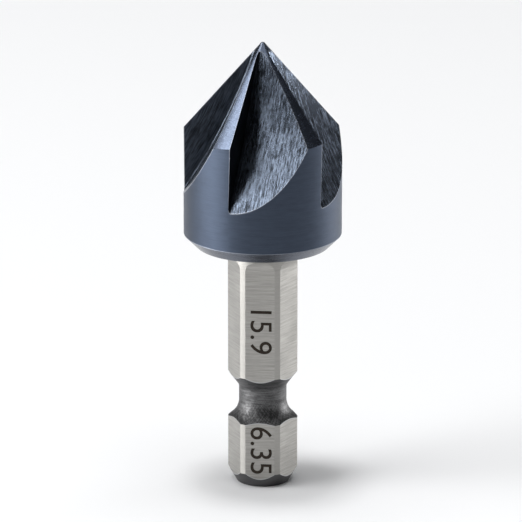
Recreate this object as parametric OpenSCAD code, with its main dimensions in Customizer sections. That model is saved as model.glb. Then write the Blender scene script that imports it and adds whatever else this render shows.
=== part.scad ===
// Five-flute countersink bit with a hexagonal quick-change shank, turned, milled
// and ground from one bar. The origin is the centre of the shank's end face and
// +Z runs along the axis to the point. Lengths are millimetres, angles degrees.

/* [Cutting head] */
// Diameter of the head across its cutting edges
head_d = 15.875; // [12:0.125:20]
// Included angle of the point
point_angle = 82; // [60:1:100]
// Length from the underside of the head to the base of the point
head_body_l = 11.85; // [9:0.05:16]
// Diameter of the small flat at the tip of the point
tip_flat_d = 0.3; // [0.1:0.05:0.8]
// Axial length of the 45 degree chamfer round the back of the head
back_chamfer = 1.15; // [0.4:0.05:2]
// How much smaller the head's diameter is at the back chamfer
back_taper = 0.04; // [0:0.01:0.4]

/* [Flutes] */
// Number of flutes
flute_count = 5; // [3:1:6]
// Direction of the first cutting edge, about the axis from the front
first_edge_angle = -24.2; // [-60:0.1:60]
// Diameter of the grinding wheel that forms a flute
wheel_d = 120; // [80:5:160]
// Corner radius of that wheel, left as the fillet in the flute's root
flute_root_r = 0.25; // [0.2:0.05:1]
// Angle by which the wheel's side is dished, which bows each cutting edge
wheel_dish_angle = 3.4; // [0.5:0.1:6]
// How far behind the axis the wheel's rim runs
rim_behind_axis = 0.2; // [0:0.05:0.4]
// How far a flute runs down the side of the head, below the base of the point
flute_runout_l = 6.65; // [4:0.05:8]
// Angle between a flute's root and the axis where it runs out on the side
flute_exit_angle = 33.8; // [31:0.1:38]
// Tilt of each land's cone that sinks its heel below its cutting edge
land_relief_angle = 2.5; // [0.5:0.1:4]

/* [Hexagonal shank] */
// Length from the end face to the underside of the head
shank_l = 25; // [22:0.5:40]
// Distance across the flats
hex_af = 6.35; // [6:0.05:6.6]
// Diameter of the round bar that the flats are milled on
bar_d = 7; // [6.8:0.05:7.3]
// Direction of the first flat, about the axis from the front
first_flat_angle = -5.2; // [-30:0.1:30]
// Length of round neck left between the end of the flats and the head
round_neck_l = 2; // [1.6:0.1:4]
// Radius that the milling cutter leaves at the end of each flat
flat_runout_r = 1.5; // [0.5:0.1:3]
// Diameter of the shank's end face
end_face_d = 5.3; // [4:0.1:6]
// Angle of the end chamfer from the axis
end_chamfer_angle = 30; // [20:1:45]

/* [Quick-change groove] */
// Diameter of the groove's neck
groove_neck_d = 4.8; // [4:0.1:5.4]
// Height of the neck's lower end above the end face
groove_neck_z = 8.6; // [8:0.1:9.5]
// Length of the straight neck
groove_neck_l = 1.55; // [1:0.05:2.5]
// Radius of the ball seat below the neck
groove_ball_r = 2.2; // [1.5:0.1:3]
// Angle of the upper flank from the axis, where it starts at the neck
groove_flank_angle = 36; // [30:1:50]
// Radius of the slight hollow that the form tool leaves along that flank
groove_flank_r = 25; // [15:1:60]
// Radius between the neck and the upper flank
groove_blend_r = 0.8; // [0.3:0.1:1.2]

/* [Hidden] */
$fn = 96;
hex_sides = 6;
// overlap of one cut or joined form with the next
lap = 1;

head_r = head_d / 2;
bar_r = bar_d / 2;
half_angle = point_angle / 2;
cone_h = head_r / tan(half_angle);
cone_base_z = shank_l + head_body_l;
// the sharp apex lies above the flat tip
apex_z = cone_base_z + cone_h;
tip_z = apex_z - tip_flat_d / 2 / tan(half_angle);

// the wheel's centre, set so that its rim leaves the side of the head at the
// run-out height and at the exit angle
wheel_r = wheel_d / 2;
wheel_x = head_r + wheel_r * cos(flute_exit_angle);
wheel_z = cone_base_z - flute_runout_l + wheel_r * sin(flute_exit_angle);
wheel_w = head_r + lap;
flute_pitch = 360 / flute_count;
// how far ahead of a cutting edge the land's relief cut starts
relief_lead = 5;

flats_top_z = shank_l - round_neck_l;
end_chamfer_l = (bar_d - end_face_d) / 2 / tan(end_chamfer_angle);
groove_neck_r = groove_neck_d / 2;
groove_top_z = groove_neck_z + groove_neck_l;

// a direction about the axis, counted from the front, as a turn from +X
function from_front(angle) = angle - 90;

// The head before fluting: a slightly back-tapered cylinder with a chamfered back
module head_blank() {
    back_r = head_r - back_taper / 2;
    rotate_extrude()
        polygon([
            [0, shank_l],
            [back_r - back_chamfer, shank_l],
            [back_r, shank_l + back_chamfer],
            [head_r, cone_base_z],
            [head_r, tip_z],
            [0, tip_z]
        ]);
}

// What grinding one land takes off: all that lies outside a cone whose axis is
// tilted about the line below the land's cutting edge, which lies on +X, so that
// the surface falls away behind that edge. The cut starts just ahead of the edge,
// over the flute, and ends just short of the next land's edge.
module land_cut() {
    reach = 1.5 * head_d;
    behind = flute_pitch - relief_lead + 1;
    intersection() {
        translate([0, 0, apex_z])
            rotate([land_relief_angle, 0, 0])
                rotate_extrude()
                    polygon([
                        [0, 0],
                        [reach, -reach / tan(half_angle)],
                        [reach, lap],
                        [0, lap]
                    ]);
        translate([0, 0, shank_l])
            linear_extrude(height = apex_z - shank_l + 2 * lap)
                polygon([
                    [0, 0],
                    [reach * cos(relief_lead), reach * sin(relief_lead)],
                    [reach * cos(behind / 2), -reach * sin(behind / 2)],
                    [reach * cos(behind), -reach * sin(behind)]
                ]);
    }
}

// The grinding wheel: its slightly dished side is the rake face, and its rim is the
// flute's back wall. The corner's circle touches the side and the rim.
module flute_wheel() {
    dish = tan(wheel_dish_angle);
    corner_x = wheel_r - flute_root_r;
    corner_y = -rim_behind_axis + flute_root_r * (dish + 1 / cos(wheel_dish_angle));
    translate([wheel_x, 0, wheel_z])
        rotate([-90, 0, 0])
            rotate_extrude()
                union() {
                    polygon([
                        [0, -rim_behind_axis + wheel_r * dish],
                        [
                            corner_x - flute_root_r * sin(wheel_dish_angle),
                            corner_y - flute_root_r * cos(wheel_dish_angle)
                        ],
                        [corner_x, corner_y],
                        [wheel_r, corner_y],
                        [wheel_r, wheel_w],
                        [0, wheel_w]
                    ]);
                    translate([corner_x, corner_y])
                        circle(r = flute_root_r);
                }
}

// The cutting head: the blank with its flutes and relieved lands cut away
module cutting_head() {
    color([0.2, 0.24, 0.3])
        difference() {
            head_blank();
            for (i = [0 : flute_count - 1])
                rotate([0, 0, from_front(first_edge_angle) + i * flute_pitch]) {
                    flute_wheel();
                    land_cut();
                }
        }
}

// The round bar of the shank with its end chamfer, carried up into the head
module shank_bar() {
    rotate_extrude()
        polygon([
            [0, 0],
            [end_face_d / 2, 0],
            [bar_r, end_chamfer_l],
            [bar_r, shank_l + lap],
            [0, shank_l + lap]
        ]);
}

// One milled flat, from below the end face to the cutter's round run-out
module flat_cut() {
    half_w = bar_d;
    translate([hex_af / 2, -half_w, -lap])
        cube([bar_r, 2 * half_w, flats_top_z + lap]);
    translate([hex_af / 2 + flat_runout_r, 0, flats_top_z])
        rotate([90, 0, 0])
            cylinder(h = 2 * half_w, r = flat_runout_r, center = true);
}

// The ring that the quick-change groove takes out: ball seat, neck and flank
module groove_ring() {
    reach = bar_r + lap;
    blend_x = groove_neck_r + groove_blend_r;
    blend_z = groove_top_z - groove_blend_r * tan(groove_flank_angle / 2);
    flank_x = blend_x - groove_blend_r * cos(groove_flank_angle);
    // the flank's circle touches the blend's from outside it
    centres = groove_flank_r - groove_blend_r;
    hollow_x = blend_x + centres * cos(groove_flank_angle);
    hollow_z = blend_z - centres * sin(groove_flank_angle);
    rotate_extrude()
        intersection() {
            translate([groove_neck_r - lap, 0])
                square([reach - groove_neck_r + lap, flats_top_z]);
            union() {
                translate([groove_neck_r + groove_ball_r, groove_neck_z])
                    circle(r = groove_ball_r);
                translate([groove_neck_r, groove_neck_z])
                    square([reach, blend_z - groove_neck_z]);
                translate([blend_x, blend_z])
                    circle(r = groove_blend_r);
                intersection() {
                    translate([hollow_x, hollow_z])
                        circle(r = groove_flank_r);
                    translate([flank_x, blend_z])
                        square([reach, flats_top_z]);
                }
            }
        }
}

// The shank: six flats on a round bar, cut across by the groove
module hex_shank() {
    color("silver")
        difference() {
            shank_bar();
            for (i = [0 : hex_sides - 1])
                rotate([0, 0, from_front(first_flat_angle) + i * 360 / hex_sides])
                    flat_cut();
            groove_ring();
        }
}

module countersink_bit() {
    union() {
        hex_shank();
        cutting_head();
    }
}

countersink_bit();
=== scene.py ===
"""Looks of a five-flute countersink bit with a hexagonal quick-change shank.

Lengths are in metres and angles in radians. The axis of the bit is +Z, its end face
stands on z = 0, and azimuths are counted from +X.
"""

import math

import bmesh
import bpy
import numpy as np
from bpy.props import (FloatProperty, FloatVectorProperty, IntProperty,
                       PointerProperty, StringProperty)
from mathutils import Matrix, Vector


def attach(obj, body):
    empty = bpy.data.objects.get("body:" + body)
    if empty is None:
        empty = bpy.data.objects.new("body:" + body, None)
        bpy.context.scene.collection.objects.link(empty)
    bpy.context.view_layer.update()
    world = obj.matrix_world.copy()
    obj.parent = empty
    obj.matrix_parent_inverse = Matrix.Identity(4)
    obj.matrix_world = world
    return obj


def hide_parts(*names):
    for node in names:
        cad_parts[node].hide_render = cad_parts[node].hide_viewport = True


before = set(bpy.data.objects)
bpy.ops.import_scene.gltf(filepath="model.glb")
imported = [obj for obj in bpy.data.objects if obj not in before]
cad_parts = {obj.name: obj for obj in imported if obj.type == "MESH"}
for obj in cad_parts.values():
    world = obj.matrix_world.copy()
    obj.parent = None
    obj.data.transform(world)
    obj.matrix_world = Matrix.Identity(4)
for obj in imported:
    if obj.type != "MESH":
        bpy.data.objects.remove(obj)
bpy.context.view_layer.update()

bl_info = {
    "name": "Countersink bit",
    "version": (1, 0, 0),
    "blender": (4, 5, 0),
    "location": "View3D > Sidebar > Countersink",
    "description": "Builds a countersink bit and the studio it is shown in",
    "category": "Mesh",
}

NODE = "countersink_bit"
BODY = "root"
MM = 1e-3
UV_NAME = "grain"
CREASE_NAME = "crease"

# places that agree on this many steps per metre are one vertex
MERGE_STEPS = 1e7
# distance from a crease where a grid has none
FAR = 1.0
# faces that meet at more than this angle leave a sharp edge
HEAD_SHARP, SHANK_SHARP = math.radians(22), math.radians(12)

# cells of the head's grids: round the wheel's corner and over its rim, up to the
# base of the edge, along a land, out on a rake face, and up the tip and the side
FILLET, ACROSS, ALONG, LAND, RAKE, TIP, SIDE = 8, 44, 26, 40, 14, 5, 10
SHOULDER, CHAMFER, UNDERSIDE = 4, 3, 6
# rounds that settle the height of the edge's base
BASE_ROUNDS = 8

HEX_SIDES = 6
# cells of the shank's grid: across a flat and a strip, and along its bands
FLAT_COLUMNS, STRIP_COLUMNS = 18, 4
FACE, LOWER_FLAT, SEAT, NECK, BLEND, FLANK = 4, 12, 12, 4, 6, 6
UPPER_FLAT, RUNOUT, ROUND_NECK = 16, 6, 5
# where the blend's grain starts, so that it doesn't repeat the neck's
BLEND_GRAIN = 0.02

# height of the digits as a share of the font's size, and how much bolder they are
DIGIT_SHARE, BOLDER = 0.70, 0.003


def length(name, description, default):
    return FloatProperty(name=name, description=description, default=default,
                         unit="LENGTH", precision=6, min=0.0)


def angle(name, description, degrees):
    return FloatProperty(name=name, description=description,
                         default=math.radians(degrees), unit="ROTATION")


def colour(name, description, default):
    return FloatVectorProperty(name=name, description=description, default=default,
                               subtype="COLOR", size=3, min=0.0, max=1.0)


def power(name, description, default):
    return FloatProperty(name=name, description=description, default=default, min=0.0,
                         unit="POWER")


class HeadSizes(bpy.types.PropertyGroup):
    head_d: length("Head diameter", "Diameter across the cutting edges", 15.875 * MM)
    point_angle: angle("Point angle", "Included angle of the point", 82)
    body_l: length("Body length", "Underside of the head to the base of the point",
                   11.85 * MM)
    tip_d: length("Tip flat", "Diameter of the small flat at the tip", 0.3 * MM)
    back_chamfer: length("Back chamfer", "Axial length of the chamfer at the back",
                         1.15 * MM)
    back_taper: length("Back taper", "How much smaller the head is at its back", 0.04 * MM)
    relief: angle("Land relief", "Tilt of each land's cone behind its edge", 2.5)


class FluteSizes(bpy.types.PropertyGroup):
    count: IntProperty(name="Flutes", description="Number of flutes", default=5,
                       min=3, max=6)
    first_edge: angle("First edge", "Direction of the first edge from the front", -24.2)
    wheel_d: length("Wheel diameter", "Grinding wheel that forms a flute", 120 * MM)
    root_r: length("Root radius", "Corner radius of that wheel", 0.25 * MM)
    dish: angle("Dish", "Angle by which the wheel's side is dished", 3.4)
    behind: length("Behind axis", "How far behind the axis the rim runs", 0.2 * MM)
    runout_l: length("Run-out", "How far a flute runs down the side", 6.65 * MM)
    exit_angle: angle("Exit angle", "Root to axis angle at the run-out", 33.8)


class ShankSizes(bpy.types.PropertyGroup):
    shank_l: length("Shank length", "End face to the underside of the head", 25 * MM)
    hex_af: length("Across flats", "Distance across the flats", 6.35 * MM)
    bar_d: length("Bar diameter", "Round bar the flats are milled on", 7 * MM)
    first_flat: angle("First flat", "Direction of the first flat from the front", -5.2)
    neck_l: length("Round neck", "Round length between the flats and the head", 2 * MM)
    runout_r: length("Run-out radius", "Cutter radius at the end of a flat", 1.5 * MM)
    end_d: length("End face", "Diameter of the end face", 5.3 * MM)
    end_angle: angle("End chamfer", "Angle of the end chamfer from the axis", 30)


class GrooveSizes(bpy.types.PropertyGroup):
    neck_d: length("Groove neck", "Diameter of the groove's neck", 4.8 * MM)
    neck_z: length("Neck height", "Height of the neck's lower end", 8.6 * MM)
    neck_l: length("Neck length", "Length of the straight neck", 1.55 * MM)
    ball_r: length("Ball seat", "Radius of the ball seat below the neck", 2.2 * MM)
    flank_angle: angle("Flank angle", "Upper flank to axis, at the neck", 36)
    flank_r: length("Flank hollow", "Radius of the hollow along the flank", 25 * MM)
    blend_r: length("Blend radius", "Radius between the neck and the flank", 0.8 * MM)


class MarkSizes(bpy.types.PropertyGroup):
    upper: StringProperty(name="Upper mark", description="Plain number: diameter",
                          default="15.9")
    lower: StringProperty(name="Lower mark", description="Plain number: hexagon",
                          default="6.35")
    height: length("Height", "Height of the digits", 2.15 * MM)
    upper_z: length("Upper place", "Height of the upper mark's middle", 16.8 * MM)
    lower_z: length("Lower place", "Height of the lower mark's middle", 4.0 * MM)
    proud: length("Thickness", "How far the mark stands off the flat", 0.006 * MM)


class Finishes(bpy.types.PropertyGroup):
    head: colour("Head", "Heat-tinted steel of the turned head", (0.050, 0.063, 0.089))
    land: colour("Lands", "Ground lands", (0.128, 0.155, 0.212))
    flute: colour("Flutes", "Back walls of the flutes", (0.127, 0.153, 0.199))
    # rake faces and the root fillet: the flutes' ground steel made far darker, painted
    # shade on the flute's shaded side
    rake: colour("Rake faces", "Rake faces of the flutes", (0.026, 0.031, 0.040))
    back: colour("Back", "Chamfer and underside of the head", (0.098, 0.110, 0.138))
    flat: colour("Flats", "Milled flats", (0.325, 0.317, 0.300))
    groove: colour("Groove", "Turned groove", (0.105, 0.105, 0.107))
    strip: colour("Corners", "Polished corners of the bar", (0.325, 0.317, 0.300))
    neck: colour("Neck", "Round neck under the head", (0.325, 0.317, 0.300))
    mark: colour("Marks", "Darkened digits", (0.014, 0.010, 0.007))


class Studio(bpy.types.PropertyGroup):
    floor: colour("Floor", "Pale floor", (0.90, 0.905, 0.915))
    floor_size: length("Floor size", "Side of the square floor", 6.0)
    top: power("Top light", "Power of the small softbox overhead", 2.0)
    wide: power("Wide light", "Power of the wide softbox above it", 4.95)
    low: power("Low light", "Power of the low softbox on the left", 4.2)
    high: power("High light", "Power of the high softbox on the left", 1.45)
    land: power("Land light", "Power of the narrow softbox above it", 0.6)
    side: power("Side light", "Power of the low softbox on the right", 2.4)
    lens: FloatProperty(name="Lens", description="Focal length in millimetres",
                        default=409.0, min=1.0, unit="CAMERA")
    elevation: angle("Elevation", "Camera's height angle above the horizon", 17.4)
    distance: length("Distance", "Camera to its target", 0.595)
    target_z: length("Target height", "Height the camera looks at", 23 * MM)
    shift_x: FloatProperty(name="Shift X", description="Sideways shift", default=-0.0034)
    shift_y: FloatProperty(name="Shift Y", description="Upward shift", default=0.0012)


def root(function, low, high, rounds=60):
    """Bisection on whole arrays: function rises through zero between low and high."""
    low, high = np.broadcast_arrays(low, high)
    low, high = low.astype(float), high.astype(float)
    for _ in range(rounds):
        middle = (low + high) / 2
        above = function(middle) > 0
        high = np.where(above, middle, high)
        low = np.where(above, low, middle)
    return (low + high) / 2


def columns_from(start, stop, cells):
    """Even steps from start to stop over the columns of a grid."""
    return start + np.linspace(0, 1, cells + 1) * (stop - start)


def rows_from(start, stop, cells):
    """Even steps from start to stop over its rows."""
    return start + np.linspace(0, 1, cells + 1)[:, None] * (stop - start)


def from_front(direction):
    """An azimuth for a direction that is counted from the front, which is -Y."""
    return direction - math.pi / 2


def polar(radius, azimuth, z):
    """Points at a radius and azimuth about the axis, at height z."""
    radius, azimuth, z = np.broadcast_arrays(radius, azimuth, z)
    return np.stack([radius * np.cos(azimuth), radius * np.sin(azimuth), z], -1)


def turned(points, by):
    """Points turned about the axis: x' = x cos - y sin, y' = x sin + y cos."""
    c, s = math.cos(by), math.sin(by)
    x, y, z = points[..., 0], points[..., 1], points[..., 2]
    return np.stack([x * c - y * s, x * s + y * c, z], -1)


def pair(u, v):
    """Two arrays as the u and v of one grain map."""
    return np.stack(np.broadcast_arrays(u, v), -1)


class Patch:
    """A grid of points with its grain map: xyz is rows x columns x 3, and uv holds
    metres along and across the tool marks. Its creases name the sides of the grid
    that are sharp edges of the piece: foot and top are the first and last row, left
    and right the first and last column."""

    def __init__(self, xyz, uv, finish, creases=""):
        self.xyz = np.asarray(xyz, float)
        self.uv = np.asarray(uv, float)
        self.finish = finish
        self.creases = creases

    def from_crease(self):
        """Distance of each point from the nearest crease, along the grid's lines."""
        near = np.full(self.xyz.shape[:2], FAR)
        for axis, first, last in ((0, "foot", "top"), (1, "left", "right")):
            step = np.linalg.norm(np.diff(self.xyz, axis=axis), axis=-1)
            run = np.insert(np.cumsum(step, axis=axis), 0, 0.0, axis=axis)
            if first in self.creases:
                near = np.minimum(near, run)
            if last in self.creases:
                near = np.minimum(near, run.take([-1], axis=axis) - run)
        return near

    def quads(self):
        """Corner numbers of the grid's cells: each cell joins rows r and r + 1 and
        columns c and c + 1."""
        rows, columns = self.xyz.shape[:2]
        index = np.arange(rows * columns).reshape(rows, columns)
        return np.stack([index[:-1, :-1], index[:-1, 1:], index[1:, 1:],
                         index[1:, :-1]], -1).reshape(-1, 4)


def mesh_piece(name, patches, materials, sharp):
    """Joins patches into one closed mesh: corners that agree to a tenth of a micron
    become one vertex, cells with two equal corners become triangles, and cells with
    less are dropped."""
    starts = np.cumsum([0] + [p.xyz[..., 0].size for p in patches])
    xyz = np.concatenate([p.xyz.reshape(-1, 3) for p in patches])
    uv = np.concatenate([p.uv.reshape(-1, 2) for p in patches])
    near = np.concatenate([p.from_crease().reshape(-1) for p in patches])
    cells = np.concatenate([p.quads() + s for p, s in zip(patches, starts)])
    finish = np.concatenate([np.full(len(p.quads()), p.finish) for p in patches])
    keys = np.rint(xyz * MERGE_STEPS).astype(np.int64)
    _, first, merged = np.unique(keys, axis=0, return_index=True, return_inverse=True)
    corner = merged.reshape(-1)[cells]
    repeated = corner == np.roll(corner, -1, axis=1)
    count = repeated.sum(1)
    whole, three = count == 0, count == 1
    keep = ~repeated[three]
    loops, point = (np.concatenate([x[whole].reshape(-1), x[three][keep]])
                    for x in (corner, cells))
    sizes = np.concatenate([np.full(whole.sum(), 4), np.full(three.sum(), 3)])
    mesh = bpy.data.meshes.new(name)
    mesh.vertices.add(len(first))
    mesh.vertices.foreach_set("co", xyz[first].reshape(-1))
    mesh.loops.add(len(loops))
    mesh.loops.foreach_set("vertex_index", loops)
    mesh.polygons.add(len(sizes))
    mesh.polygons.foreach_set("loop_start", np.cumsum(sizes) - sizes)
    mesh.polygons.foreach_set("material_index",
                              np.concatenate([finish[whole], finish[three]]))
    mesh.update(calc_edges=True)
    for title, values in ((UV_NAME, uv), (CREASE_NAME, pair(near, 0.0))):
        layer = mesh.uv_layers.new(name=title)
        layer.data.foreach_set("uv", values[point].astype(np.float32).reshape(-1))
    if mesh.validate(verbose=False):
        raise RuntimeError(f"the mesh of {name} had faces that don't fit together")
    recalculate_outward(mesh)
    check_closed(name, mesh)
    mesh.polygons.foreach_set("use_smooth", np.ones(len(mesh.polygons), bool))
    mesh.set_sharp_from_angle(angle=sharp)
    for material in materials:
        mesh.materials.append(material)
    return linked(name, mesh)


def linked(name, data):
    """A new object at the origin of the scene."""
    made = bpy.data.objects.new(name, data)
    bpy.context.scene.collection.objects.link(made)
    return made


def recalculate_outward(mesh):
    work = bmesh.new()
    work.from_mesh(mesh)
    bmesh.ops.recalc_face_normals(work, faces=work.faces)
    work.to_mesh(mesh)
    work.free()


def check_closed(name, mesh):
    """Every edge of a closed shell is used by exactly two faces."""
    used = np.zeros(len(mesh.loops), np.int32)
    mesh.loops.foreach_get("edge_index", used)
    if (np.bincount(used, minlength=len(mesh.edges)) != 2).any():
        raise RuntimeError(f"the mesh of {name} isn't closed")


# finishes of the head; the rake's is a darker copy of the flute's steel, painted shade
HEAD_BODY, HEAD_LAND, HEAD_FLUTE, HEAD_RAKE, HEAD_BACK = range(5)


class HeadForm:
    """The fluted head as surfaces of two parameters. In a flute's own frame x is the
    direction of its cutting edge, its rake face lies near y = 0 and the flute at
    y > 0. The land behind the next edge closes the sector. A point of the wheel is
    given by d, its distance from the wheel's axis, and by y."""

    def __init__(self, head, flute, shank):
        self.r = head.head_d / 2
        self.back_r = self.r - head.back_taper / 2
        self.under_z = shank.shank_l
        self.chamfer_z = shank.shank_l + head.back_chamfer
        self.under_r = self.back_r - head.back_chamfer
        self.base_z = shank.shank_l + head.body_l
        self.half = head.point_angle / 2
        self.apex_z = self.base_z + self.r / math.tan(self.half)
        self.tip_z = self.apex_z - head.tip_d / 2 / math.tan(self.half)
        self.tilt = head.relief
        self.wheel_r = flute.wheel_d / 2
        self.wheel_x = self.r + self.wheel_r * math.cos(flute.exit_angle)
        self.wheel_z = (self.base_z - flute.runout_l
                        + self.wheel_r * math.sin(flute.exit_angle))
        self.root_r, self.dish, self.behind = flute.root_r, flute.dish, flute.behind
        self.pitch = 2 * math.pi / flute.count

    def slope(self, behind):
        """Radius over depth below the apex of a land's tilted cone, at an angle
        behind its edge: the positive root of
        s^2 (sin^2 f sin^2 t - cos^2 a) + 2 s sin f sin t cos t + cos^2 t - cos^2 a,
        with f the angle, negative behind, t the tilt and a the half angle."""
        f, t, a = -behind, self.tilt, self.half
        square = np.sin(f) ** 2 * math.sin(t) ** 2 - math.cos(a) ** 2
        middle = np.sin(f) * math.sin(t) * math.cos(t)
        free = math.cos(t) ** 2 - math.cos(a) ** 2
        return (-middle - np.sqrt(middle ** 2 - square * free)) / square

    def cone(self, behind, z, faded=0.0):
        """Radius of a land behind its edge: slope (apex - z), with the slope drawn
        back to the edge's own as the relief fades."""
        k = self.slope(behind)
        return (k + (self.slope(0.0) - k) * faded) * (self.apex_z - z)

    def side(self, z):
        """Radius of the side: a straight line from the chamfer to the cone's base."""
        return self.back_r + (self.r - self.back_r) * (
            (z - self.chamfer_z) / (self.base_z - self.chamfer_z))

    def base(self, behind):
        """Height where the land's cone meets the side: slope (apex - z) = side(z)."""
        k = self.slope(behind)
        m = (self.r - self.back_r) / (self.base_z - self.chamfer_z)
        return (k * self.apex_z - self.back_r + m * self.chamfer_z) / (k + m)

    def rim(self, reach):
        """(d, y) along the wheel's outline, from its side round its corner and over
        the rim: the corner's circle touches the dished side and the rim."""
        bend = np.linspace(-self.dish, math.pi / 2, FILLET + 1)
        centre_y = -self.behind + self.root_r * (math.tan(self.dish)
                                                 + 1 / math.cos(self.dish))
        d = self.wheel_r - self.root_r * (1 - np.sin(bend))
        y = centre_y - self.root_r * np.cos(bend)
        over = np.linspace(centre_y, reach, ACROSS + 1)[1:]
        return (np.concatenate([d, np.full(ACROSS, self.wheel_r)]),
                np.concatenate([y, over]))

    def wall(self, d, z):
        """x of the wheel at height z: wheel_x - sqrt(d^2 - (z - wheel_z)^2)."""
        return self.wheel_x - np.sqrt(d ** 2 - (z - self.wheel_z) ** 2)

    def on_wall(self, d, y, z):
        return np.stack(np.broadcast_arrays(self.wall(d, z), y, z), -1)

    def rake(self, x, z):
        """y of the rake face, which the dished side leaves: it rises from the rim
        towards the wheel's axis by the tangent of the dish angle."""
        d = np.hypot(x - self.wheel_x, z - self.wheel_z)
        return -self.behind + (self.wheel_r - d) * math.tan(self.dish)

    def edge(self, z, on_side):
        """x of the cutting edge or margin at height z, where the rake face meets the
        land's cone or the side of the head."""
        def over(x):
            y = self.rake(x, z)
            cone = self.cone(-np.arctan2(y, x), z)
            return np.hypot(x, y) - np.where(on_side, self.side(z), cone)
        return root(over, np.full_like(z, 0.02 * self.r), np.full_like(z, self.r * 1.1))

    def low_heel(self, d, y):
        """Height where the wall runs out on the side, for a point of the rim."""
        return root(lambda z: self.side(z) ** 2 - self.wall(d, z) ** 2 - y ** 2,
                    self.chamfer_z + 0 * y, self.base_z + 0.1 * self.r)

    def high_heel(self, d, y):
        """Height where the wall meets the next land's cone."""
        def over(z):
            x = self.wall(d, z)
            return np.hypot(x, y) - self.cone(self.pitch - np.arctan2(y, x), z)
        return root(over, self.base_z - 0.2 * self.r + 0 * y, self.apex_z)


class HeadSector(HeadForm):
    """The surfaces of one flute, of the land behind the next edge, and of the side
    and back below. Rows of the land end on the edge at the heights of the rake
    face's rows, so that neighbours share every point."""

    def __init__(self, head, flute, shank):
        super().__init__(head, flute, shank)
        self.lay_heel()
        self.lay_rows()
        self.lay_edge()
        self.lay_azimuths()

    def lay_heel(self):
        """The heel, where the back wall meets the side below and the land above: it
        rises from the rake face to its crest and falls to where all three meet."""
        reach = root(lambda y: self.low_heel(self.wheel_r, y)
                     - self.high_heel(self.wheel_r, y), 0.5 * self.r, self.r * 0.999)
        self.d, self.t = d, t = self.rim(float(reach))
        self.z_low, self.z_high = low, high = self.low_heel(d, t), self.high_heel(d, t)
        low[-1] = high[-1] = (low[-1] + high[-1]) / 2
        self.crest = int(np.argmax(high))
        self.fall_z = high[self.crest:][::-1]
        self.phi_low, self.phi_high = (np.arctan2(t, self.wall(d, z))
                                       for z in (low, high))
        self.lower, self.heel = (self.on_wall(d, t, z) for z in (low, high))

    def lay_rows(self):
        """Heights of the flute's rows: even ones up to the base of the cutting edge,
        where rake face, land and side meet, then ones in step with the heel's."""
        fall, base_z = self.fall_z, self.base(0.0)
        for _ in range(BASE_ROUNDS):
            x = self.edge(np.array([base_z]), True)[0]
            base_z = float(self.base(-math.atan2(self.rake(x, base_z), x)))
        rows = len(fall) - 1 - self.crest
        step = (fall[:rows + 1] - fall[0]) / (fall[rows] - fall[0])
        self.wall_z = np.concatenate([
            np.linspace(self.z_low[0], base_z, ALONG + 1)[:-1],
            base_z + step * (self.z_high[0] - base_z)])
        self.foot_z = base_z

    def lay_edge(self):
        """The cutting edge, from the flute's run-out to the tip. Above the flute's
        upper end come the heights of the heel up to its crest, then those of the
        tip, where the relief fades out."""
        count, crest = len(self.wall_z), self.crest
        ends, top = np.linspace(0, 1, TIP + 1)[1:], self.z_high[crest]
        z = np.concatenate([self.wall_z, self.z_high[1:crest + 1],
                            top + ends * (self.tip_z - top)])
        fade = np.concatenate([np.zeros(count + crest), ends ** 3])
        close = np.concatenate([np.zeros(crest), ends])
        x = self.edge(z, z <= self.foot_z)
        y = self.rake(x, z)
        phi, radius = np.arctan2(y, x), np.hypot(x, y)
        phi[count:] = phi[count - 1] + close * (self.phi_high[0] - phi[count - 1])
        radius[count:] = self.cone(-phi, z, fade)[count:]
        self.edge_z, self.edge_fade, self.edge_phi, self.edge_r = z, fade, phi, radius

    def lay_azimuths(self):
        """Azimuths on the land and shoulder, row by row, and of the side's columns."""
        start = self.phi_high[self.crest:][::-1, None]
        stop = self.pitch + self.edge_phi[ALONG:ALONG + len(start), None]
        self.land_phi = columns_from(start, stop, LAND)
        self.shoulder_phi = columns_from(
            self.phi_high[0], self.phi_high[:self.crest + 1, None], SHOULDER)
        behind = columns_from(self.land_phi[0, 0], self.pitch + self.phi_low[0], LAND)
        self.side_phi = np.concatenate([self.phi_low, behind[1:]])

    def patches(self):
        ground, shoulder = self.ground(), self.shoulder()
        return [*self.back_wall(), self.rake_face(), ground, shoulder,
                *self.point(ground, shoulder), *self.sides(ground), *self.back()]

    def back_wall(self):
        """Back wall of the flute, and its fillet at the rake face."""
        d, t = self.d, self.t
        rows = (self.wall_z - self.z_low[0]) / (self.z_high[0] - self.z_low[0])
        z = self.z_low + rows[:, None] * (self.z_high - self.z_low)
        turn = np.arcsin((z - self.wheel_z) / self.wheel_r)
        arc = np.concatenate([[0.0], np.cumsum(np.hypot(np.diff(d), np.diff(t)))])
        xyz, uv = self.on_wall(d, t, z), pair(turn * self.wheel_r, arc)
        # the fillet takes the rake face's darker finish: painted shade in the flute's root
        return [Patch(xyz[:, cut], uv[:, cut], finish, "top foot")
                for cut, finish in ((slice(FILLET + 1), HEAD_RAKE),
                                    (slice(FILLET, None), HEAD_FLUTE))]

    def rake_face(self):
        """Rake face, from the root out to the cutting edge. Above the flute's upper
        end a low step goes on to the tip at the azimuths where that face ends."""
        count, first, z = len(self.wall_z), self.phi_high[0], self.edge_z
        outer = polar(self.edge_r, self.edge_phi, z)
        outer[0] = self.lower[0]
        inner = polar(self.cone(self.pitch - first, z, self.edge_fade), first, z)
        inner[:count] = self.on_wall(self.d[0], self.t[0], self.wall_z)
        inner[count - 1] = self.heel[0]
        face = rows_from(inner[:, None], outer[:, None], RAKE)
        within = face[1:count, 1:-1]
        within[..., 1] = self.rake(within[..., 0], within[..., 2])
        x, z = face[..., 0] - self.wheel_x, face[..., 2] - self.wheel_z
        uv = pair(np.arctan2(z, -x) * self.wheel_r, np.hypot(x, z))
        # the rake face's finish is painted shade: a far darker copy of the flute's steel
        return Patch(face, uv, HEAD_RAKE, "right")

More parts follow.
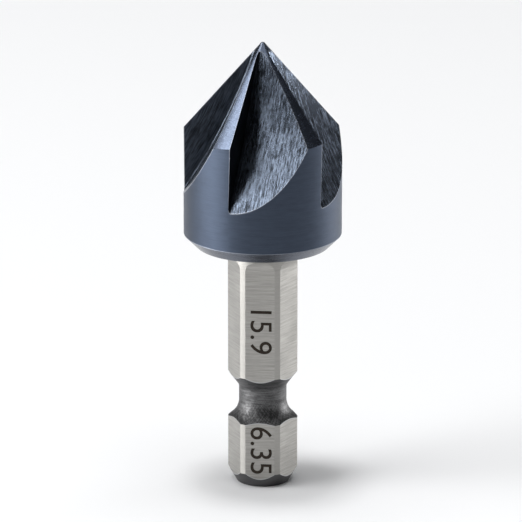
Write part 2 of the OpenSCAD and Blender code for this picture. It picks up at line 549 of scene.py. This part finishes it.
    def land(self, phi, z, creases, faded=0.0):
        """A grid on the land, its grain map laid round the axis and down the cone."""
        down = (self.apex_z - z) / math.cos(self.half)
        return Patch(polar(self.cone(self.pitch - phi, z, faded), phi, z),
                     pair(phi * self.r, down), HEAD_LAND, creases)

    def ground(self):
        """Land behind the next edge, from its base up to the crest of the heel."""
        left, phi = self.fall_z[:, None], self.land_phi
        z = columns_from(left, self.edge_z[ALONG:ALONG + len(left), None], LAND)
        z[0] = self.base(self.pitch - phi[0])
        z[0, 0], z[0, -1] = left[0, 0], self.foot_z
        ground = self.land(phi, z, "left right")
        ground.xyz[0] = polar(self.side(z[0]), phi[0], z[0])
        ground.xyz[:, 0] = self.heel[self.crest:][::-1]
        return ground

    def shoulder(self):
        """Shoulder between the step's line and the heel below its crest."""
        rows = slice(self.crest + 1)
        shoulder = self.land(self.shoulder_phi, self.z_high[rows, None], "right")
        shoulder.xyz[:, -1] = self.heel[rows]
        shoulder.xyz[0] = self.heel[0]
        return shoulder

    def point(self, ground, shoulder):
        """The unfluted end of the point, above shoulder and land, and its flat."""
        first = np.concatenate([self.shoulder_phi[-1], self.land_phi[-1, 1:]])
        part = (first - first[0]) / (first[-1] - first[0])
        stop, z, fade = (x[-TIP - 1:, None] for x in
                         (self.pitch + self.edge_phi, self.edge_z, self.edge_fade))
        phi = first[0] + part * (stop - first[0])
        end = self.land(phi, z, "left right", fade)
        end.xyz[0] = np.concatenate([shoulder.xyz[-1], ground.xyz[-1, 1:]])
        rim = end.xyz[-1]
        cap = np.stack([rim, np.broadcast_to([0.0, 0.0, self.tip_z], rim.shape)])
        return [end, Patch(cap, cap[..., :2], HEAD_LAND)]

    def sides(self, ground):
        """Side of the head: a lower band up to the heel and to a slanted line, and an
        upper band between that line and the base of the land."""
        count, columns = len(self.t), self.side_phi
        line_z = columns_from(self.fall_z[0], self.z_low[0], LAND)
        top = np.concatenate([self.z_low, line_z[1:]])
        z = rows_from(self.chamfer_z, top, SIDE)
        xyz, uv = polar(self.side(z), columns, z), pair(columns * self.r, z)
        xyz[-1, :count] = self.lower
        lower = [Patch(xyz[:, cut], uv[:, cut], HEAD_BODY, creases)
                 for cut, creases in ((slice(count), "top foot"),
                                      (slice(count - 1, None), "foot"))]
        below, base_phi = self.wall_z[:ALONG + 1], self.land_phi[0]
        up = ((below - below[0]) / (below[-1] - below[0]))[:, None]
        z = line_z + up * (ground.xyz[0, :, 2] - line_z)
        stop = self.pitch + self.edge_phi[:ALONG + 1, None]
        stop[0] = self.pitch + self.phi_low[0]
        phi = columns_from(base_phi[0], stop, LAND)
        phi[-1] = base_phi
        upper = Patch(polar(self.side(z), phi, z), pair(phi * self.r, z), HEAD_BODY,
                      "right")
        upper.xyz[:, 0] = xyz[-1, count - 1]
        upper.xyz[-1] = ground.xyz[0]
        return [*lower, upper]

    def back(self):
        """Chamfer round the back, and the underside down to the axis."""
        phi = self.side_phi
        radius = rows_from(self.back_r, self.under_r, CHAMFER)
        z = rows_from(self.chamfer_z, self.under_z, CHAMFER)
        inwards = np.linspace(1, 0, UNDERSIDE + 1)[:, None] * self.under_r
        return [Patch(polar(r, phi, height), pair(phi * self.r, across), HEAD_BACK)
                for r, height, across in ((radius, z, z * math.sqrt(2)),
                                          (inwards, self.under_z, inwards))]


def head_patches(sector, flute):
    """The sector's surfaces, repeated round the axis from the first edge on."""
    patches, whole = sector.patches(), []
    for i in range(flute.count):
        by = from_front(flute.first_edge) + i * sector.pitch
        whole += [Patch(turned(p.xyz, by), p.uv + [i * sector.pitch * sector.r, 0.0],
                        p.finish, p.creases) for p in patches]
    return whole


SHANK_FLAT, SHANK_GROOVE, SHANK_STRIP, SHANK_END, SHANK_NECK = range(5)


class ShankSector:
    """One flat of the shank and the strip of bar beside it: columns about the axis
    and bands along it. At each azimuth the flat lies at q = af / 2 / cos(azimuth),
    no further out than the bar, and the turned forms run in to q from their own
    profiles, whose circles turn from 0, where they run along the axis."""

    def __init__(self, shank, groove):
        self.shank, self.groove, self.bands = shank, groove, []
        self.bar_r, self.af_r = shank.bar_d / 2, shank.hex_af / 2
        corner = math.acos(self.af_r / self.bar_r)
        flat = np.arctan(np.linspace(-1, 1, FLAT_COLUMNS + 1) * math.tan(corner))
        strip = np.linspace(corner, 2 * math.pi / HEX_SIDES - corner, STRIP_COLUMNS + 1)
        self.phi = np.concatenate([flat, strip[1:]])
        self.q = np.minimum(self.af_r / np.cos(self.phi), self.bar_r)
        self.q[FLAT_COLUMNS:] = self.q[0] = self.bar_r
        self.lower()
        self.upper()

    def band(self, radius, z, across, finish, creases=""):
        """Adds a band of rows: radius, height, and distance along the profile."""
        grids = np.broadcast_arrays(radius, z, across, self.phi)[:3]
        self.bands.append((*grids, finish, creases))

    def lower(self):
        """End face, end chamfer, lower flat, and the ball seat from where its circle
        meets q."""
        end_r, slope = self.shank.end_d / 2, math.tan(self.shank.end_angle)
        r = rows_from(0.0, end_r, FACE)
        self.band(r, 0.0, r, SHANK_END)
        r = rows_from(end_r, self.q, FACE)
        self.band(r, (r - end_r) / slope, r * 2, SHANK_END)
        ball, top_z = self.groove.ball_r, self.groove.neck_z
        centre = self.groove.neck_d / 2 + ball
        start = -np.arccos(np.clip((centre - self.q) / ball, -1, 1))
        z = rows_from((self.q - end_r) / slope, top_z + ball * np.sin(start), LOWER_FLAT)
        self.band(self.q, z, z, SHANK_FLAT, "foot top")
        turn = start * (1 - rows_from(0, 1, SEAT))
        self.band(centre - ball * np.cos(turn), top_z + ball * np.sin(turn),
                  ball * turn, SHANK_GROOVE)

    def upper(self):
        """Neck, blend and hollow flank, each circle touching the next, then from where
        the flank meets q the upper flat, the cutter's run-out, round neck and top."""
        groove, blend, hollow = self.groove, self.groove.blend_r, self.groove.flank_r
        slant, neck_r, neck_z = groove.flank_angle, groove.neck_d / 2, groove.neck_z
        blend_x = neck_r + blend
        blend_z = neck_z + groove.neck_l - blend * math.tan(slant / 2)
        hollow_x = blend_x + (hollow - blend) * math.cos(slant)
        hollow_z = blend_z - (hollow - blend) * math.sin(slant)
        z = rows_from(neck_z, blend_z, NECK)
        self.band(neck_r, z, z, SHANK_GROOVE)
        turn = rows_from(0.0, slant, BLEND)
        self.band(blend_x - blend * np.cos(turn), blend_z + blend * np.sin(turn),
                  blend * turn + BLEND_GRAIN, SHANK_GROOVE)
        turn = rows_from(slant, np.arccos((hollow_x - self.q) / hollow), FLANK)
        z = hollow_z + hollow * np.sin(turn)
        self.band(hollow_x - hollow * np.cos(turn), z, hollow * turn, SHANK_GROOVE)
        bar_r, rise, end_z = self.bar_r, self.shank.runout_r, self.shank.shank_l
        top_z = end_z - self.shank.neck_l
        z = rows_from(z[-1], top_z, UPPER_FLAT)
        self.band(self.q, z, z, SHANK_FLAT, "foot")
        cut, centre = self.q < bar_r, self.af_r + rise
        stop = np.arccos(np.clip((centre - bar_r * np.cos(self.phi)) / rise, -1, 1))
        turn = rows_from(0.0, np.where(cut, stop, 0.0), RUNOUT)
        radius = (centre - rise * np.cos(turn)) / np.cos(self.phi)
        z = top_z + rise * np.sin(turn)
        self.band(np.where(cut, radius, bar_r), z, rise * turn, SHANK_FLAT)
        z = rows_from(z[-1], end_z, ROUND_NECK)
        self.band(bar_r, z, z, SHANK_NECK)
        n = rows_from(0, 1, FACE)
        self.band(bar_r * (1 - n), end_z, bar_r * n, SHANK_END)


def shank_patches(shank, groove):
    """The sector's bands, repeated round the axis from the first flat on. Those of
    the flat are parted into flat and strip, each with its own finish."""
    sector = ShankSector(shank, groove)
    phi, bar_r = sector.phi, sector.bar_r
    patches = []
    for i in range(HEX_SIDES):
        by = from_front(shank.first_flat) + i * 2 * math.pi / HEX_SIDES
        for radius, z, across, finish, creases in sector.bands:
            xyz = polar(radius, phi + by, z)
            uv = pair((phi + by) * bar_r, across)
            if finish == SHANK_FLAT:
                flat, strip = slice(FLAT_COLUMNS + 1), slice(FLAT_COLUMNS, None)
                lay = pair(radius * np.sin(phi), across)
                patches += [Patch(xyz[:, flat], lay[:, flat], finish, creases),
                            Patch(xyz[:, strip], uv[:, strip], SHANK_STRIP)]
            else:
                patches.append(Patch(xyz, uv, finish))
    return patches


class Sock:
    """A node's output socket as a number in an expression: each operator adds the
    Math node it names and gives that node's output."""

    def __init__(self, maker, socket):
        self.maker, self.socket = maker, socket

    def math(self, operation, first, second):
        return self.maker.node("Math", {"operation": operation}, {0: first, 1: second})

    def __add__(self, other):
        return self.math("ADD", self, other)

    def __sub__(self, other):
        return self.math("SUBTRACT", self, other)

    def __rsub__(self, other):
        return self.math("SUBTRACT", other, self)

    def __mul__(self, other):
        return self.math("MULTIPLY", self, other)

    __radd__, __rmul__ = __add__, __mul__

    def between(self, low, high, start=0.0, end=1.0):
        """Runs smoothly from start to end as the number goes from low to high."""
        return self.maker.node("MapRange", {"interpolation_type": "SMOOTHSTEP"}, {
            "Value": self, "From Min": low, "From Max": high, "To Min": start,
            "To Max": end})


class Maker:
    """Makes the nodes of one material or world."""

    def __init__(self, owner):
        owner.use_nodes = True
        self.tree = owner.node_tree
        self.tree.nodes.clear()

    def node(self, kind, settings=None, sockets=None, out=0):
        """A shader node of a kind, its settings set first, then its sockets' values
        or links. The answer is the output numbered or named by out."""
        made = self.tree.nodes.new("ShaderNode" + kind)
        for key, value in (settings or {}).items():
            setattr(made, key, value)
        for key, value in (sockets or {}).items():
            if isinstance(value, Sock):
                self.tree.links.new(value.socket, made.inputs[key])
            else:
                made.inputs[key].default_value = value
        if not made.outputs:
            return made
        return Sock(self, made.outputs[out])

    def part(self, vector, number):
        """Coordinate 0, 1 or 2 of a vector."""
        return self.node("SeparateXYZ", None, {0: vector}, number)

    def grain(self, along, across, turn=0.0):
        """The grain map as a vector, turned, then scaled along and across."""
        uv = self.node("UVMap", {"uv_map": UV_NAME})
        if turn:
            uv = self.node("VectorRotate", {"rotation_type": "Z_AXIS"},
                           {"Vector": uv, "Angle": turn})
        return self.node("VectorMath", {"operation": "MULTIPLY"},
                         {0: uv, 1: (along, across, 1.0)})

    def at(self):
        """The place on the piece, in metres."""
        return self.node("TexCoord", None, None, "Object")

    def cloud(self, scale):
        """Noise in space, with so many clouds per metre."""
        return self.noise(self.node("VectorMath", {"operation": "SCALE"},
                                    {0: self.at(), "Scale": scale}))

    def noise(self, vector, detail=3.0, roughness=0.5):
        return self.node("TexNoise", {"noise_dimensions": "3D"}, {
            "Vector": vector, "Scale": 1.0, "Detail": detail, "Roughness": roughness})

    def tinted(self, mask, dark, light):
        """A colour that runs from dark to light with a mask."""
        ends = [end if isinstance(end, Sock) else (*end, 1.0) for end in (dark, light)]
        return self.node("Mix", {"data_type": "RGBA"},
                         {"Factor": mask, 6: ends[0], 7: ends[1]}, 2)

    def finish(self, sockets):
        shader = self.node("BsdfPrincipled", None, sockets)
        self.node("OutputMaterial", None, {"Surface": shader})


def scaled(rgb, by):
    return tuple(min(1.0, c * by) for c in rgb)


class Metal:
    """Recipe of machined steel: streaks along the grain map tint it, change its
    roughness and cut a shallow bump, crossed by two slanted sets where it is hatched.
    Slow clouds vary the colour, and a thin line along each crease is bare steel where
    the edge is rubbed and partly a painted highlight where a rounded edge catches light.
    Streaks are counted per millimetre, and the cut is in millimetres."""

    # broad streaks under the fine ones: their fineness and their share
    BROAD_SCALE, BROAD_SHARE = 0.3, 0.6
    # clouds per metre, and their share in the tone
    CLOUD_SCALE, CLOUDS = 0.45 / MM, 0.25
    # sums of both that give the darkest and the lightest colour
    TONES = (0.2, 0.8)
    # slanted sets: turns, fineness along and across, heights between which they fade
    # above the seat, the share left there, and how much painted shade darkens the seat
    HATCH_TURNS, HATCH_ALONG, HATCH_ACROSS = (0.7, -0.9), 1.5, 0.7
    HATCH_FADE, HATCH_LEFT, HATCH_SHADE = (7.4 * MM, 9.2 * MM), 0.15, 0.07
    # line along the creases, bare steel and partly a painted highlight: where it starts
    # to fade, where it ends, and how far it wanders
    WORN_FADE, WORN_WANDER = (0.03 * MM, 0.10 * MM), 0.08 * MM
    # colour of that line: bare steel, partly a painted highlight
    BARE_STEEL = (0.72, 0.76, 0.84)

    def __init__(self, rgb, roughness, contrast, along=0.9, across=9.0, streak=1.0,
                 spread=0.12, cut=0.006, worn=0.0, hatch=0.0):
        self.rgb, self.roughness, self.contrast = rgb, roughness, contrast
        self.along, self.across, self.streak = along / MM, across / MM, streak
        self.spread, self.cut = spread, cut * MM
        self.worn, self.hatch = worn, hatch

    def streaks(self, maker):
        """Fine streaks and broad ones, as a number about zero."""
        fine = maker.noise(maker.grain(self.along, self.across), roughness=0.6)
        broad = maker.noise(maker.grain(self.along * self.BROAD_SCALE,
                                        self.across * self.BROAD_SCALE), detail=2.0)
        return ((fine - 0.5) * self.streak
                + (broad - 0.5) * (self.streak * self.BROAD_SHARE))

    def hatched(self, maker, lines):
        """The lines crossed by slanted ones, and the painted shade in the ball seat."""
        amount = maker.part(maker.at(), 2).between(
            *self.HATCH_FADE, self.hatch, self.HATCH_LEFT * self.hatch)
        for turn in self.HATCH_TURNS:
            slant = maker.noise(maker.grain(self.along * self.HATCH_ALONG,
                                            self.across * self.HATCH_ACROSS, turn))
            lines = lines + (slant - 0.5) * amount
        # painted shade: darker in the ball seat, fading above it with the slanted sets
        return lines, amount * self.HATCH_SHADE

    def material(self, name):
        made = bpy.data.materials.new(name)
        maker = Maker(made)
        lines, shade = self.streaks(maker), 0.0
        if self.hatch:
            lines, shade = self.hatched(maker, lines)
        cloud = maker.cloud(self.CLOUD_SCALE) - 0.5
        # the tone less the painted shade of the ball seat
        tone = (lines + cloud * self.CLOUDS + 0.5 - shade).between(*self.TONES)
        base = maker.tinted(tone, scaled(self.rgb, 1 - self.contrast),
                            scaled(self.rgb, 1 + self.contrast))
        rough = self.roughness + lines * self.spread + cloud * self.spread
        # a light line along each crease: bare steel where edges are rubbed, and partly a
        # painted highlight where a rounded edge would catch light
        if self.worn:
            near = maker.part(maker.node("UVMap", {"uv_map": CREASE_NAME}), 0)
            edge = (near + cloud * self.WORN_WANDER).between(
                *self.WORN_FADE, self.worn, 0.0)
            base = maker.tinted(edge, base, self.BARE_STEEL)
        bump = maker.node("Bump", None,
                          {"Height": lines, "Strength": 1.0, "Distance": self.cut})
        maker.finish({"Base Color": base, "Metallic": 1.0, "Roughness": rough,
                      "Normal": bump})
        return made


def sizes():
    return bpy.context.scene.countersink


def settle(piece):
    """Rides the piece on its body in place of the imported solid."""
    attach(piece, BODY)
    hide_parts(NODE)


class COUNTERSINK_OT_head(bpy.types.Operator):
    """Grind the head: side, relieved lands, flutes and back chamfer"""
    bl_idname = "countersink.head"
    bl_label = "Cutting head"

    def execute(self, context):
        kit = sizes()
        tone = kit.finishes
        # in the order of the head's finishes
        materials = [
            Metal(tone.head, 0.44, 0.10, worn=0.22).material("tinted_side"),
            Metal(tone.land, 0.27, 0.2, along=3.0, across=6.0, spread=0.05,
                  worn=0.15).material("ground_land"),
            Metal(tone.flute, 0.26, 0.85, along=1.5, across=16.0, streak=1.7,
                  cut=0.011, worn=0.2).material("ground_flute"),
            # rake faces and root fillet: the flutes' steel made far darker as painted
            # shade
            Metal(tone.rake, 0.34, 0.7, along=0.8, across=11.0, streak=1.4,
                  worn=0.2).material("ground_rake"),
            Metal(tone.back, 0.27, 0.2).material("tinted_back"),
        ]
        sector = HeadSector(kit.head, kit.flute, kit.shank)
        settle(mesh_piece("cutting_head", head_patches(sector, kit.flute), materials,
                          HEAD_SHARP))
        return {"FINISHED"}


class COUNTERSINK_OT_shank(bpy.types.Operator):
    """Turn and mill the shank: end chamfer, six flats, groove and round neck"""
    bl_idname = "countersink.shank"
    bl_label = "Hexagonal shank"

    def execute(self, context):
        kit = sizes()
        tone = kit.finishes
        # in the order of the shank's finishes
        materials = [
            Metal(tone.flat, 0.38, 0.2, along=0.5, across=16.0,
                  worn=0.25).material("milled_flat"),
            Metal(tone.groove, 0.50, 0.45, along=0.6, cut=0.014,
                  hatch=1.6).material("turned_groove"),
            Metal(tone.strip, 0.40, 0.05).material("polished_corner"),
            Metal(tone.groove, 0.45, 0.1).material("turned_end"),
            Metal(tone.neck, 0.45, 0.1).material("turned_neck"),
        ]
        settle(mesh_piece("hex_shank", shank_patches(kit.shank, kit.groove), materials,
                          SHANK_SHARP))
        return {"FINISHED"}


class COUNTERSINK_OT_marks(bpy.types.Operator):
    """Mark the front flat with plain numbers: head diameter and hexagon"""
    bl_idname = "countersink.marks"
    bl_label = "Size marks"

    def execute(self, context):
        kit = sizes()
        material = self.dark(kit.finishes.mark)
        for name, text, z in (("upper_mark", kit.marks.upper, kit.marks.upper_z),
                              ("lower_mark", kit.marks.lower, kit.marks.lower_z)):
            piece = self.number(name, text, z, kit)
            piece.data.materials.append(material)
            settle(piece)
        return {"FINISHED"}

    @staticmethod
    def dark(rgb):
        """A dull dark colour that varies in three clouds to the millimetre."""
        made = bpy.data.materials.new("dark_mark")
        maker = Maker(made)
        maker.finish({"Base Color": maker.tinted(maker.cloud(3.0 / MM),
                                                 scaled(rgb, 0.6), scaled(rgb, 2.2)),
                      "Metallic": 0.0, "Roughness": 0.8, "Specular IOR Level": 0.2})
        return made

    @staticmethod
    def number(name, text, z, kit):
        """The digits read downwards along the axis: their x runs along -Z, their y
        to the flat's right, and the flat's outward normal is their z."""
        curve = bpy.data.curves.new(name, "FONT")
        curve.body = text
        curve.size = kit.marks.height / DIGIT_SHARE
        curve.align_x = curve.align_y = "CENTER"
        curve.extrude = kit.marks.proud / 2
        curve.offset = kit.marks.height * BOLDER
        holder = linked(name, curve)
        bpy.context.view_layer.update()
        mesh = bpy.data.meshes.new_from_object(holder)
        bpy.data.objects.remove(holder)
        bpy.data.curves.remove(curve)
        mesh.name = name
        points = np.zeros(len(mesh.vertices) * 3)
        mesh.vertices.foreach_get("co", points)
        points = points.reshape(-1, 3)
        outward = from_front(kit.shank.first_flat)
        normal = np.array([math.cos(outward), math.sin(outward), 0.0])
        right = np.array([-normal[1], normal[0], 0.0])
        down = np.array([0.0, 0.0, -1.0])
        placed = (points[:, :1] * down + points[:, 1:2] * right
                  + (points[:, 2:] + kit.shank.hex_af / 2) * normal)
        placed[:, 2] += z
        mesh.vertices.foreach_set("co", placed.reshape(-1))
        mesh.update()
        return linked(name, mesh)


class COUNTERSINK_OT_stage(bpy.types.Operator):
    """Set up the pale floor, the soft lights and the camera"""
    bl_idname = "countersink.stage"
    bl_label = "Floor, lights and camera"

    # each softbox: its power's name, its width and height, and its place
    SOFTBOXES = (
        ("top", (0.14, 0.14), (-0.03, 0.02, 0.85)),
        ("wide", (0.80, 0.80), (0.0, 0.0, 0.90)),
        ("low", (0.42, 0.06), (-0.59, -0.125, 0.036)),
        ("high", (0.42, 0.24), (-0.565, -0.190, 0.475)),
        ("land", (0.34, 0.11), (-0.475, -0.085, 0.60)),
        ("side", (0.30, 0.04), (0.545, 0.235, 0.024)),
    )
    MIDDLE = (0.0, 0.0, 30 * MM)
    # the room is dim up in front: the way there, how far directions at the room's
    # light and dim end lean that way, and the light at each
    DIM_WAY, LEAN, ROOM_LIGHT = (-0.2, -0.75, 0.62), (-0.6, 0.12), (0.3, 0.02)
    ROOM_COLOUR = (0.97, 0.985, 1.0, 1.0)
    # the camera's sensor in millimetres, and how near and far it sees
    SENSOR, CLIP = 36.0, (0.01, 20.0)

    def execute(self, context):
        studio = sizes().studio
        self.floor(studio)
        for name, size, place in self.SOFTBOXES:
            self.lamp(f"{name}_softbox", getattr(studio, name), size, place)
        self.world()
        context.scene.camera = self.camera(studio)
        context.scene.view_settings.view_transform = "Standard"
        return {"FINISHED"}

    @staticmethod
    def floor(studio):
        half = studio.floor_size / 2
        mesh = bpy.data.meshes.new("floor")
        mesh.from_pydata([(-half, -half, 0), (half, -half, 0), (half, half, 0),
                          (-half, half, 0)], [], [(0, 1, 2, 3)])
        material = bpy.data.materials.new("pale_floor")
        Maker(material).finish({"Base Color": (*studio.floor, 1.0), "Roughness": 0.9})
        mesh.materials.append(material)
        linked("floor", mesh)

    def lamp(self, name, power, size, place):
        """A rectangular softbox that points at the middle and isn't seen itself."""
        data = bpy.data.lights.new(name, "AREA")
        data.shape = "RECTANGLE"
        data.size, data.size_y = size
        data.energy = power
        lamp = linked(name, data)
        lamp.location = place
        away = lamp.location - Vector(self.MIDDLE)
        lamp.rotation_euler = away.to_track_quat("Z", "Y").to_euler()
        lamp.visible_camera = False

    def world(self):
        world = bpy.data.worlds.new("studio_room")
        bpy.context.scene.world = world
        maker = Maker(world)
        way = maker.node("TexCoord", None, None, "Generated")
        lean = maker.node("VectorMath", {"operation": "DOT_PRODUCT"},
                          {0: way, 1: self.DIM_WAY}, "Value")
        background = maker.node(
            "Background", None,
            {"Color": self.ROOM_COLOUR,
             "Strength": lean.between(*self.LEAN, *self.ROOM_LIGHT)})
        maker.node("OutputWorld", None, {"Surface": background})

    def camera(self, studio):
        data = bpy.data.cameras.new("photo_camera")
        data.sensor_width = self.SENSOR
        data.lens = studio.lens
        data.shift_x, data.shift_y = studio.shift_x, studio.shift_y
        data.clip_start, data.clip_end = self.CLIP
        camera = linked("photo_camera", data)
        c, s = math.cos(studio.elevation), math.sin(studio.elevation)
        camera.location = (0.0, -studio.distance * c,
                           studio.target_z + studio.distance * s)
        camera.rotation_euler = (math.pi / 2 - studio.elevation, 0.0, 0.0)
        return camera


class COUNTERSINK_PT_panel(bpy.types.Panel):
    bl_label = "Countersink bit"
    bl_idname = "COUNTERSINK_PT_panel"
    bl_space_type = "VIEW_3D"
    bl_region_type = "UI"
    bl_category = "Countersink"

    def draw(self, context):
        for operator in OPERATORS:
            self.layout.operator(operator.bl_idname)


class Countersink(bpy.types.PropertyGroup):
    head: PointerProperty(type=HeadSizes)
    flute: PointerProperty(type=FluteSizes)
    shank: PointerProperty(type=ShankSizes)
    groove: PointerProperty(type=GrooveSizes)
    marks: PointerProperty(type=MarkSizes)
    finishes: PointerProperty(type=Finishes)
    studio: PointerProperty(type=Studio)


OPERATORS = (COUNTERSINK_OT_head, COUNTERSINK_OT_shank, COUNTERSINK_OT_marks,
             COUNTERSINK_OT_stage)
CLASSES = (HeadSizes, FluteSizes, ShankSizes, GrooveSizes, MarkSizes, Finishes,
           Studio, Countersink, *OPERATORS, COUNTERSINK_PT_panel)


def register():
    for cls in CLASSES:
        bpy.utils.register_class(cls)
    bpy.types.Scene.countersink = PointerProperty(type=Countersink)


def unregister():
    del bpy.types.Scene.countersink
    for cls in reversed(CLASSES):
        bpy.utils.unregister_class(cls)


def main():
    register()
    bpy.ops.countersink.head()
    bpy.ops.countersink.shank()
    bpy.ops.countersink.marks()
    bpy.ops.countersink.stage()


if __name__ == "__main__":
    main()
